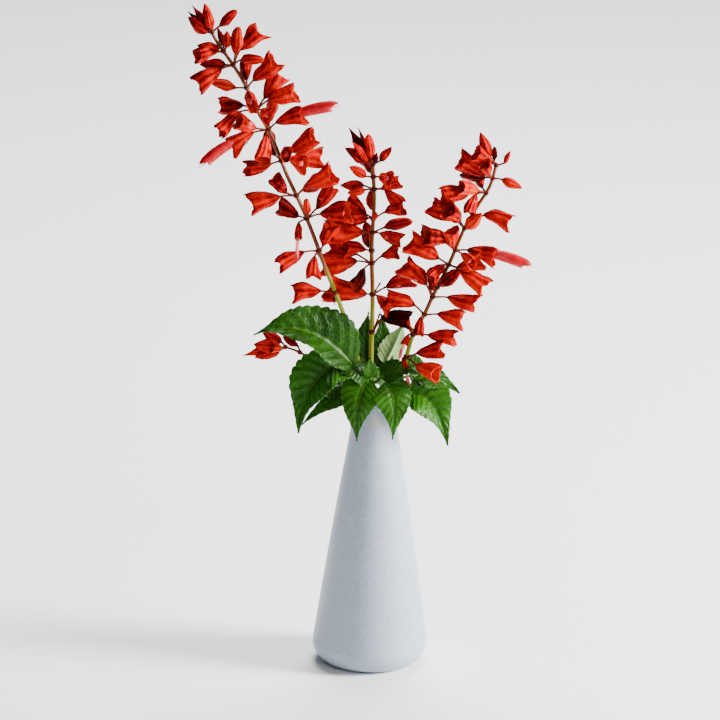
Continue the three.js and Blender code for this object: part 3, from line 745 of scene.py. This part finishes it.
# Each floret: kind, stalk's swing and length, body's swing, its turn to the front, its length, tone.
# Tone runs from 0, maroon, to 1, pale orange red. Whorls go down from the tip, each at its height.
spikes = {
    "left": [
        (424, [("bract", 118, 2, 119, 10, 21, .12), ("bud", 112, 2, 114, -15, 16, .5),
               ("bract", 140, 2, 142, -25, 18, .1), ("bud", 150, 1, 141, 20, 17, .45),
               ("bud", 105, 2, 104, 30, 15, .55), ("bud", 45, 4, 45, 0, 15, .45)]),
        (412, [("bud", 170, 3, 183, 15, 12, .4), ("bud", 110, 2, 108, -30, 13, .35),
               ("calyx", 165, 5, 175, 42, 15, .4), ("bud", 148, 2, 150, 28, 16, .3),
               ("bud", 70, 2, 84, 28, 14, .5)]),
        (403, [("bud", 90, 6, 87, 15, 20, .5), ("calyx", 72, 9, 50, -10, 18, .5),
               ("bud", 40, 4, 14, 20, 16, .55), ("bud", 165, 3, 184, -15, 17, .45),
               ("calyx", 195, 6, 208, 15, 19, .5)]),
        (388, [("bud", 180, 5, 168, -20, 17, .68), ("calyx", 60, 5, 46, 10, 20, .5),
               ("calyx", 300, 3, 290, 70, 16, .5), ("calyx", 100, 5, 110, -60, 17, .4)]),
        (374, [("calyx", 62, 7, 58, -20, 19, .5), ("calyx", 45, 8, 22, 10, 19, .55),
               ("calyx", 0, 3, 350, 68, 14, .6), ("calyx", 160, 8, 190, -25, 17, .45),
               ("calyx", 180, 10, 216, 25, 18, .55)]),
        (361, [("bloom", 50, 5, 24, 5, 19, .55), ("bloom", 185, 8, 206, 15, 18, .55),
               ("calyx", 270, 3, 268, 45, 19, .68), ("calyx", 160, 7, 153, 30, 16, .7),
               ("calyx", 90, 5, 80, -60, 17, .45)]),
        (341, [("calyx", 55, 7, 36, 10, 20, .55), ("calyx", 195, 5, 186, 25, 17, .5),
               ("calyx", 70, 4, 75, 62, 15, .75), ("calyx", 20, 5, 0, 50, 16, .7),
               ("calyx", 10, 6, 356, -20, 19, .5), ("calyx", 140, 5, 125, -55, 17, .4)]),
        (318, [("calyx", 55, 7, 30, 15, 22, .55), ("calyx", 150, 6, 118, 25, 15, .25),
               ("calyx", 178, 9, 195, 10, 20, .5), ("calyx", 30, 4, 20, -55, 17, .4)]),
        (303, [("bud", 100, 3, 98, 25, 14, .6), ("calyx", 50, 7, 56, -15, 18, .5),
               ("calyx", 25, 8, 12, 25, 21, .5), ("spent", 200, 4, 268, 35, 12, .6),
               ("calyx", 170, 5, 165, -50, 17, .4)]),
        (281, [("calyx", 75, 3, 78, 15, 15, .5), ("calyx", 180, 8, 200, 15, 18, .55),
               ("calyx", 250, 3, 266, 30, 14, .5)]),
        (251.5, [("calyx", 165, 8, 178, 12, 18, .45), ("bract", 280, 1, 275, 25, 7, .05)]),
    ],
    "centre": [
        (336, [("bract", 115, 2, 115, 0, 25, .15), ("bract", 108, 2, 110, -25, 24, .3),
               ("bud", 95, 3, 95, 5, 18, .55), ("bud", 140, 3, 137, 20, 18, .3),
               ("bract", 122, 2, 120, 25, 22, .5), ("bud", 88, 1, 88, 10, 8, .3),
               ("bud", 40, 3, 52, 0, 12, .4)]),
        (327, [("bud", 175, 3, 135, 20, 14, .6), ("calyx", 20, 3, 20, 58, 14, .7),
               ("calyx", 120, 3, 110, -60, 15, .4)]),
        (318.5, [("calyx", 15, 3, 30, 15, 13, .55), ("bud", 150, 5, 178, 0, 15, .42),
                 ("bud", 178, 4, 183, 30, 13, .55), ("calyx", 250, 2, 268, -30, 13, .55),
                 ("calyx", 0, 5, 322, 10, 14, .55)]),
        (299, [("calyx", 165, 2, 165, 40, 15, .5), ("calyx", 45, 8, 25, 25, 14, .55),
               ("calyx", 150, 4, 152, -40, 17, .45), ("bud", 80, 2, 85, 60, 10, .65)]),
        (290.5, [("bud", 35, 6, 24, 5, 19, .45), ("calyx", 0, 3, 345, 22, 15, .6),
                 ("calyx", 175, 4, 178, 15, 24, .5)]),
        (278, [("calyx", 160, 2, 164, 18, 15, .42), ("calyx", 120, 2, 100, -65, 16, .4)]),
        (269, [("calyx", 145, 10, 165, -10, 19, .5), ("calyx", 165, 8, 186, 15, 23, .62),
               ("calyx", 55, 8, 30, 30, 13, .5), ("calyx", 215, 5, 250, 50, 16, .12),
               ("stub", 45, 6, 40, -20, 1, .3)]),
        (249.5, [("calyx", 175, 2, 168, 12, 26, .55), ("calyx", 35, 8, 24, -10, 18, .5),
                 ("calyx", 320, 1, 325, 30, 14, .7), ("stub", 65, 7, 60, -30, 1, .3)]),
        (224.5, [("calyx", 70, 11, 2, 8, 20, .0), ("bract", 75, 8, 72, -20, 6, .1)]),
    ],
    "right": [
        (340, [("bud", 120, 5, 112, 5, 18, .5), ("calyx", 135, 1, 139, 20, 16, .55),
               ("bud", 88, 2, 84, -10, 9, .25), ("bud", 30, 4, 68, 5, 9, .6)]),
        (331, [("calyx", 150, 4, 150, 10, 20, .5), ("calyx", 110, 2, 112, 35, 13, .45),
               ("bud", 0, 4, 342, 10, 14, .55), ("calyx", 200, 4, 172, -40, 18, .3)]),
        (321, [("calyx", 160, 4, 152, 35, 16, .8), ("calyx", 175, 8, 182, 20, 21, .5),
               ("calyx", 190, 5, 250, 20, 14, .5), ("calyx", 120, 3, 120, -55, 16, .4)]),
        (297.5, [("calyx", 110, 6, 118, 40, 19, .45), ("calyx", 135, 6, 149, 0, 19, .5),
                 ("bud", 56, 1, 56, 30, 18, .75), ("calyx", 46, 15, 350, 5, 18, .55)]),
        (283.5, [("calyx", 110, 7, 158, 25, 19, .35), ("calyx", 150, 9, 158, -25, 15, .3),
                 ("calyx", 95, 1, 96, 25, 15, .7), ("bloom", 10, 6, 354, 8, 19, .5),
                 ("calyx", 340, 3, 330, 50, 13, .6)]),
        (273, [("calyx", 145, 6, 146, 8, 22, .55), ("calyx", 350, 4, 24, 25, 17, .6),
               ("calyx", 335, 6, 333, 8, 20, .55), ("calyx", 200, 1, 214, 30, 14, .55)]),
        (257, [("bud", 60, 2, 52, 25, 20, .35)]),
        (251.5, [("calyx", 107, 8, 133, 5, 20, .5), ("calyx", 8, 8, 348, 10, 19, .55),
                 ("calyx", 100, 4, 60, -65, 17, .4)]),
        (239, [("calyx", 130, 7, 158, 5, 20, .5), ("calyx", 15, 7, 358, 15, 17, .6),
               ("calyx", 230, 2, 262, 30, 12, .5)]),
        (225, [("calyx", 8, 8, 357, 15, 18, .6), ("spent", 200, 1, 246, 20, 8, .6),
               ("stub", 120, 8, 110, 0, 1, .5)]),
        (209, [("calyx", 38, 6, 14, 15, 18, .5), ("spent", 220, 1, 290, 30, 9, .7),
               ("calyx", 320, 7, 358, 45, 18, .75)]),
    ],
    "side_shoot": [
        (216.5, [("bract", 182, 3, 181, 10, 24, .65), ("bud", 165, 3, 168, 25, 19, .6),
                 ("bud", 195, 3, 192, 20, 17, .55), ("bud", 150, 3, 158, -20, 15, .55),
                 ("calyx", 170, 2, 160, 45, 12, .6)]),
        (213.2, [("bud", 120, 3, 148, 5, 12, .3)]),
    ],
}
bodySize = {"bract": 1.05, "bud": 1.05, "calyx": 1.1, "bloom": 1.08, "spent": 1.0, "stub": 1.0}
solidRing = {"gap": 0.3, "wall": 1.2}      # the ring that each whorl's solid stands on


def addFloret(shape, node, floret, dice):
    kind, stalkSwing, stalkLength, swing, front, length, tone = floret
    centre, along, radius = node
    away = heading(stalkSwing, front * 0.7)
    facing = heading(swing, front)
    outward = square(away, along)
    root = centre + outward * (radius + solidRing["gap"] + solidRing["wall"] / 2)
    base = root + away * stalkLength
    start = centre + outward * radius * 0.6
    tone = tone + dice.uniform(-0.08, 0.08)
    length = length * bodySize[kind]
    droop = unit(facing - np.array([0, 0, tubeSpec["droop"]]))
    path = bezier(start, root * 0.35 + base * 0.65 + along * 0.12 * stalkLength,
                  base + facing * 0.04 * length, 9)
    thick = 0.68 if kind != "stub" else 0.55
    addRod(shape, path, (thick * 1.25, thick, thick, thick * 1.3), 2, 0.35 + 0.4 * tone)
    if kind == "calyx":
        addCalyx(shape, base, facing, outward, length, tone, dice, dice.uniform(0.4, 1.1))
    elif kind == "bud":
        blunt = 0.75 if dice.random() < 0.3 else 0.0
        thickness = dice.uniform(0.19, 0.235)
        addBud(shape, base, facing, outward, length, tone, dice, thickness, blunt=blunt)
    elif kind == "bract":
        addBud(shape, base, facing, outward, length, tone, dice, 0.14, 0.55, 0.5)
    elif kind == "bloom":
        addCalyx(shape, base, facing, outward, length, tone, dice, 1.35)
        addTube(shape, base + droop * length * 0.12, droop, outward, length * 1.95, 0.4, dice)
    elif kind == "spent":
        addCalyx(shape, base, facing, outward, length, 0.5, dice, 0.7)
        addTube(shape, base + droop * length * 0.1, droop, outward, length * 2.1, 0.85, dice, 1.0)
    elif kind == "stub":
        addBud(shape, base - facing * 0.4, facing, outward, 1.6, 0.2, dice, 0.45, 1.0)


for spikeName, whorls in spikes.items():
    for k, (height, florets) in enumerate(whorls):
        nodeName = f"{spikeName}_tip_buds" if k == 0 else f"{spikeName}_whorl_{k:02d}"
        dice = random.Random(f"{nodeName}-sage")
        shape = Shape()
        node = stemAt(stems[spikeName], height)
        addJoint(shape, *node, 0.2, dice)
        for floret in florets:
            addFloret(shape, node, floret, dice)
        pieceName = nodeName.replace("whorl", "flowers").replace("tip_buds", "tip_cluster")
        shape.build(pieceName, [sepal, petal, stalk], nodeName)
print("flowers made")


# facing: where the inside of the fold looks; fold: degrees each half is turned up;
# freshAndPaintedLight: how light the face is, partly the leaf's own paleness and partly painted light
# and shade, lighter on lit leaves and darker on shaded ones; teeth: scallops a side

leaves = {
    "leaf_upper_left": dict(
        stalk=(-9.5, -1.5, 196), base=(-15, -7, 205), mid=(-44, -14, 242), tip=(-79, -17, 227),
        facing=(0, -0.65, 0.75), half=23, fold=36, freshAndPaintedLight=0.2, teeth=15),
    "leaf_back_left": dict(
        stalk=(-2, 8, 190), base=(-5, 10, 196), mid=(-9, 13, 214), tip=(-5, 14, 235),
        facing=(0, -0.95, 0.2), half=10, fold=10, freshAndPaintedLight=0.15, teeth=10),
    "leaf_back_right": dict(
        stalk=(0.5, 7, 192), base=(2.5, 10.5, 198), mid=(6, 15, 215), tip=(3, 13.5, 234),
        facing=(0.1, -0.95, 0.2), half=8.5, fold=12, freshAndPaintedLight=0.15, teeth=10),
    "leaf_pale": dict(
        stalk=(1, 6, 195), base=(6, 10, 201), mid=(13, 14, 214), tip=(18, 10, 230),
        facing=(-0.1, 0.9, 0.3), half=9.5, fold=22, freshAndPaintedLight=0.6, teeth=9),
    "leaf_round": dict(
        stalk=(15, 1, 196), base=(19, 4, 199), mid=(26, 7, 205), tip=(33, 7, 202),
        facing=(0, -0.8, 0.6), half=8, fold=8, freshAndPaintedLight=0.4, teeth=7),
    "leaf_left_hanging": dict(
        stalk=(-9, -1.5, 190), base=(-25, -11, 205), mid=(-46, -15, 198), tip=(-49, -17, 161),
        facing=(-0.4, -0.8, 0.4), half=20, fold=36, freshAndPaintedLight=0.35, teeth=12),
    "leaf_left_folded": dict(
        stalk=(-8, -0.5, 187), base=(-13, -7, 199), mid=(-27, -10, 203), tip=(-42, -14, 191),
        facing=(0, -0.45, 0.9), half=9, fold=22, freshAndPaintedLight=0.85, teeth=9),
    "leaf_left_shaded": dict(
        stalk=(-7, 2.5, 190), base=(-14, 1, 192), mid=(-28, -3, 193), tip=(-44, -8, 179),
        facing=(0, -0.6, 0.75), half=12, fold=8, freshAndPaintedLight=0.1, teeth=9),
    "leaf_left_low": dict(
        stalk=(-3, 3, 187), base=(-12, -6, 187), mid=(-30, -9, 184), tip=(-47, -12, 165),
        facing=(0, -0.5, 0.85), half=8, fold=10, freshAndPaintedLight=0.3, teeth=9),
    "leaf_front_left": dict(
        stalk=(-1.6, 3.4, 189), base=(-4, -9, 196), mid=(-14, -21, 188), tip=(-11, -19.5, 157),
        facing=(-0.1, -0.9, 0.45), half=13.5, fold=10, freshAndPaintedLight=0.45, teeth=11),
    "leaf_front_right": dict(
        stalk=(9, -1, 186), base=(7, -9, 194), mid=(15, -21, 189), tip=(12, -20, 159),
        facing=(0.15, -0.9, 0.4), half=13.5, fold=12, freshAndPaintedLight=0.5, teeth=11),
    "leaf_right_hanging": dict(
        stalk=(10, -1, 188), base=(22, -7, 188), mid=(41, -10, 187), tip=(48, -12, 153),
        facing=(0.4, -0.85, 0.35), half=17.5, fold=34, freshAndPaintedLight=0.6, teeth=11),
    "leaf_right_shaded": dict(
        stalk=(13, -2, 194), base=(22, -3, 197), mid=(40, -3, 200), tip=(55, -6, 187),
        facing=(0, -0.4, 0.9), half=12, fold=12, freshAndPaintedLight=0.2, teeth=10),
    "leaf_back_hanging_left": dict(
        stalk=(-4, 7, 190), base=(-7, 13, 194), mid=(-15, 26, 192), tip=(-13, 26, 164),
        facing=(-0.2, 0.9, 0.4), half=10.5, fold=10, freshAndPaintedLight=0.3, teeth=10),
    "leaf_back_hanging_right": dict(
        stalk=(1.5, 6.5, 189), base=(5, 13, 193), mid=(12, 27, 189), tip=(11, 26, 161),
        facing=(0.2, 0.9, 0.4), half=10.5, fold=14, freshAndPaintedLight=0.4, teeth=10),
    "leaf_neck_left": dict(
        stalk=(-3, 3.3, 191), base=(-3, -5, 194), mid=(-12, -11, 206), tip=(-25, -13, 199),
        facing=(0, -0.75, 0.65), half=9, fold=12, freshAndPaintedLight=0.15, teeth=8),
    "leaf_neck_right": dict(
        stalk=(0.8, 4, 190), base=(4, -5, 196), mid=(14, -9, 207), tip=(27, -9, 201),
        facing=(0, -0.75, 0.65), half=8.5, fold=12, freshAndPaintedLight=0.25, teeth=8),
    "leaf_young": dict(
        stalk=(-2, 3.5, 195), base=(-2.5, -6, 196), mid=(-3, -12, 204), tip=(-4, -11, 212),
        facing=(0.1, -0.9, 0.3), half=5.5, fold=20, freshAndPaintedLight=0.5, teeth=6),
}


def bladeWidth(t, widest=0.3):
    # rounded at the foot, drawn out at the tip
    foot = np.sqrt(np.clip(1 - ((widest - t) / widest)**2, 0, 1))
    tip = np.clip((t - widest) / (1 - widest), 0, 1)
    drawn = 0.55 * np.clip(np.cos(tip * math.pi / 2), 0, 1)**1.1 + 0.225 * (1 + np.cos(tip * math.pi))
    return np.where(t < widest, foot, drawn)


def makeLeaf(name, spec, along=110, across=12, thick=0.42):
    dice = random.Random(f"{name}-sage")
    base, mid, tip = (np.array(spec[key], float) for key in ("base", "mid", "tip"))
    t = np.linspace(0, 1, along)
    midrib = bezier(base, mid, tip, along)
    tangents = np.gradient(midrib, axis=0)
    tangents /= np.linalg.norm(tangents, axis=1)[:, None]
    facing = np.array(spec["facing"], float)
    normals = np.array([square(facing, tangent) for tangent in tangents])
    sides = np.cross(tangents, normals)
    width = bladeWidth(t) * spec["half"]
    phase = (t * spec["teeth"] + 0.35) % 1
    scallop = 1 + 0.075 * (np.abs(np.sin(np.pi * phase**0.7)) - 0.75) * smooth(t, 0.03, 0.12)
    width = np.maximum(width * scallop, 0.55)
    u = np.concatenate([-np.linspace(1, 0, across)**0.9, np.linspace(0, 1, across)[1:]**0.9])
    out = np.abs(u)[None]
    fold = math.radians(spec["fold"])
    lump = 0.9 * spec["half"] / 20
    veinPhase = (t[:, None] - 0.2 * out**1.25) * 9
    quilt = lump * np.abs(np.sin(np.pi * (veinPhase % 1))) * smooth(out, 0.02, 0.2) * (1 - 0.5 * out)
    wavePhase = 2 * math.pi * (t[:, None] * 2.3 + dice.random())
    wave = 0.05 * spec["half"] * np.sin(wavePhase + 1.5 * np.sign(u)[None])
    rise = width[:, None] * out * (math.sin(fold) - 0.18 * out) + wave * out**2
    groove = -0.5 * lump * np.exp(-(out / 0.06)**2)
    flat = width[:, None] * u[None] * math.cos(fold)
    face = midrib[:, None] + flat[..., None] * sides[:, None]
    face = face + (rise + quilt + groove)[..., None] * normals[:, None]
    edgeThin = thick * (1 - 0.6 * out**4)
    rib = 0.55 * np.exp(-(out / 0.07)**2) * (1 - 0.75 * t[:, None])
    backDrop = (edgeThin + rib) * np.ones_like(t)[:, None]
    back = face - backDrop[..., None] * normals[:, None]
    loops = np.concatenate([face, back[:, ::-1]], axis=1)
    values = np.zeros((*loops.shape[:2], 4))
    # each leaf's lightness: partly its own paleness, partly painted light and shade, so leaves in shade
    # get darker faces and lit leaves lighter ones
    values[..., 0] = spec["freshAndPaintedLight"]
    values[..., 1] = t[:, None]
    values[..., 2] = np.concatenate([out, out[:, ::-1]], axis=1)
    values[:, face.shape[1]:, 3] = 1
    shape = Shape()
    shape.rings(loops[:, ::-1], 0, values[:, ::-1])
    root = np.array(spec["stalk"], float)
    reach = np.linalg.norm(base - root)
    stalkPath = bezier(root, base - tangents[0] * reach * 0.4, base + tangents[0] * 3, 18)
    addRod(shape, stalkPath, (1.25, 0.95, 0.85, 0.7), 0, 0.9, 10, ribbed=False)
    material, slot = (leafYoung, "leaf_underside") if name == "leaf_pale" else (leafFace, "leaf")
    shape.build(name.replace("leaf", "sage_leaf"), [material], name)


for name, spec in leaves.items():
    makeLeaf(name, spec)
print("leaves made")


room = {"floor": 6.0, "air": (0.95, 0.97, 1.0), "dim": 0.12, "pale": 1.6}
lights = {
    "keyLight": {"place": (1.9, -0.3, 0.9), "aim": (0, 0, 0.24), "size": 0.8, "power": 210},
    "backLight": {"place": (0.1, 1.1, 2.1), "aim": (0, 0.7, 0), "size": 1.4, "power": 110},
    "frontLight": {"place": (1.0, -2.1, 1.2), "aim": (0, 0, 0.22), "size": 1.0, "power": 18},
}


def makeFloor(half):
    mesh = bpy.data.meshes.new("paleFloor")
    corners = [(-half, -half, 0), (half, -half, 0), (half, half, 0), (-half, half, 0)]
    mesh.from_pydata(corners, [], [(0, 1, 2, 3)])
    material, tree, shader = startMaterial("palePaper", 0.9, specular=0.2)
    mottle = placeGroup(tree, mottleGroup, Blotch_Scale=3.0, Grain_Scale=60.0)
    link(tree, mixColor(tree, mottle["Blotch"], (0.86, 0.86, 0.86), (0.9, 0.9, 0.9)),
         shader.inputs["Base Color"])
    mesh.materials.append(material)
    floor = bpy.data.objects.new("pale_floor", mesh)
    bpy.context.scene.collection.objects.link(floor)


def makeLight(name, spec):
    light = bpy.data.lights.new(name, "AREA")
    light.shape = "DISK"
    light.size = spec["size"]
    light.energy = spec["power"]
    lamp = bpy.data.objects.new(name, light)
    bpy.context.scene.collection.objects.link(lamp)
    lamp.location = spec["place"]
    toAim = Vector(spec["aim"]) - Vector(spec["place"])
    lamp.rotation_euler = toAim.to_track_quat("-Z", "Y").to_euler()


def makeAir(spec):
    # past the floor's edge the eye meets pale air, though the room's own light stays dim
    world = bpy.data.worlds.new("paleRoom")
    world.use_nodes = True
    tree = world.node_tree
    dim = tree.nodes["Background"]
    feed(tree, dim.inputs[0], spec["air"])
    feed(tree, dim.inputs[1], spec["dim"])
    pale = tree.nodes.new("ShaderNodeBackground")
    feed(tree, pale.inputs[1], spec["pale"])
    either = tree.nodes.new("ShaderNodeMixShader")
    seen = tree.nodes.new("ShaderNodeLightPath").outputs["Is Camera Ray"]
    for socket, source in zip(either.inputs, (seen, dim.outputs[0], pale.outputs[0])):
        link(tree, source, socket)
    link(tree, either.outputs[0], tree.nodes["World Output"].inputs[0])
    bpy.context.scene.world = world


makeFloor(room["floor"])
for name, spec in lights.items():
    makeLight(name, spec)
makeAir(room)

# width: how much of the scene the picture spans at the aim
cameraSpec = {"lens": 260, "elevation": 17, "roll": 1.17, "aim": (-0.0101, 0, 0.2063),
              "width": 0.468}


def makeCamera(spec):
    data = bpy.data.cameras.new("view")
    data.lens = spec["lens"]
    data.sensor_width = 36
    camera = bpy.data.objects.new("view", data)
    bpy.context.scene.collection.objects.link(camera)
    tilt = math.radians(spec["elevation"])
    ahead = Vector((0, math.cos(tilt), -math.sin(tilt)))
    away = spec["width"] * spec["lens"] / data.sensor_width
    camera.location = Vector(spec["aim"]) - ahead * away
    turn = ahead.to_track_quat("-Z", "Y").to_matrix().to_4x4()
    roll = Matrix.Rotation(math.radians(spec["roll"]), 4, "Z")
    camera.rotation_euler = (turn @ roll).to_euler()
    bpy.context.scene.camera = camera


makeCamera(cameraSpec)
print("scene ready")
